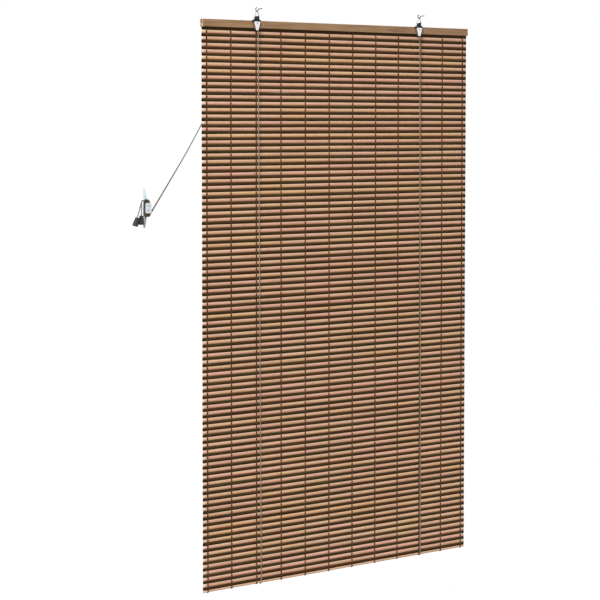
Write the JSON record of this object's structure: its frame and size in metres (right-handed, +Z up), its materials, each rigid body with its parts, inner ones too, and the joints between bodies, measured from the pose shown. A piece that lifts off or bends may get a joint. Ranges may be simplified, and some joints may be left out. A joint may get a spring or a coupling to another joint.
{
  "type": "bamboo roll-up blind",
  "caption": "Bamboo slat roll-up blind hung by two hooked pulleys, with lift cords, a wall cleat for the pull cords and cone tassels.",
  "frame": {"origin": "on the wall plane, midway between the two hook shanks", "axes": "+Z up, +X along the blind, +Y from the wall into the room; the hooks screw into the wall along -Y"},
  "size_m": [1.2402, 0.0682, 1.6404],
  "materials": {
    "bamboo": "split bamboo slats and dark-stained sticks, matt",
    "header_wood": "planed softwood, matt",
    "warp_thread": "twisted brown thread",
    "cord_fibre": "braided light brown cord",
    "black_plastic": "moulded, satin",
    "wheel_plastic": "smooth",
    "plate_steel": "brushed zinc plate",
    "zinc_steel": "bright zinc",
    "guide_brass": "turned",
    "cleat_grey": "grey-blue cast metal",
    "tassel_black": "satin black"
  },
  "bodies": {
    "frame": {"cleat": "cleat_grey", "cord_guide_left": "guide_brass", "cord_guide_right": "guide_brass", "hanging_ring_left": "zinc_steel", "hanging_ring_right": "zinc_steel", "header_batten": "header_wood", "header_nails": "zinc_steel", "header_strip": "header_wood", "lift_cord_left": "cord_fibre", "lift_cord_right": "cord_fibre", "pull_cord_left": "cord_fibre", "pull_cord_right": "cord_fibre", "pulley_axle_left": "zinc_steel", "pulley_axle_right": "zinc_steel", "pulley_faceplate_left": "plate_steel", "pulley_faceplate_right": "plate_steel", "pulley_housing_left": "black_plastic", "pulley_housing_right": "black_plastic", "pulley_screws": "zinc_steel", "screw_hook_left": "zinc_steel", "screw_hook_right": "zinc_steel", "slat_mat": "bamboo", "tassel_left": "tassel_black", "tassel_right": "tassel_black", "warp_threads": "warp_thread"},
    "bottom_slat": {"bottom_slat": "bamboo"},
    "wheel_left": {"pulley_wheel_left": "wheel_plastic"},
    "wheel_right": {"pulley_wheel_right": "wheel_plastic"}
  },
  "joints": [
    {"name": "lift", "type": "slide", "parent": "frame", "child": "bottom_slat", "axis": [0, 0, 1], "range_m": [0, 1.45], "deforming": ["slat_mat", "warp_threads", "lift_cord_left", "lift_cord_right"]},
    {"name": "wheel_spin_left", "type": "hinge", "parent": "frame", "child": "wheel_left", "pos_m": [-0.306, 0.0111, -0.04], "axis": [0, -1, 0], "continuous": true},
    {"name": "wheel_spin_right", "type": "hinge", "parent": "frame", "child": "wheel_right", "pos_m": [0.306, 0.0111, -0.04], "axis": [0, -1, 0], "continuous": true}
  ],
  "couplings": [
    {"joint": "wheel_spin_left", "follows": "lift", "rad_per_m": 370.37},
    {"joint": "wheel_spin_right", "follows": "lift", "rad_per_m": 370.37}
  ]
}
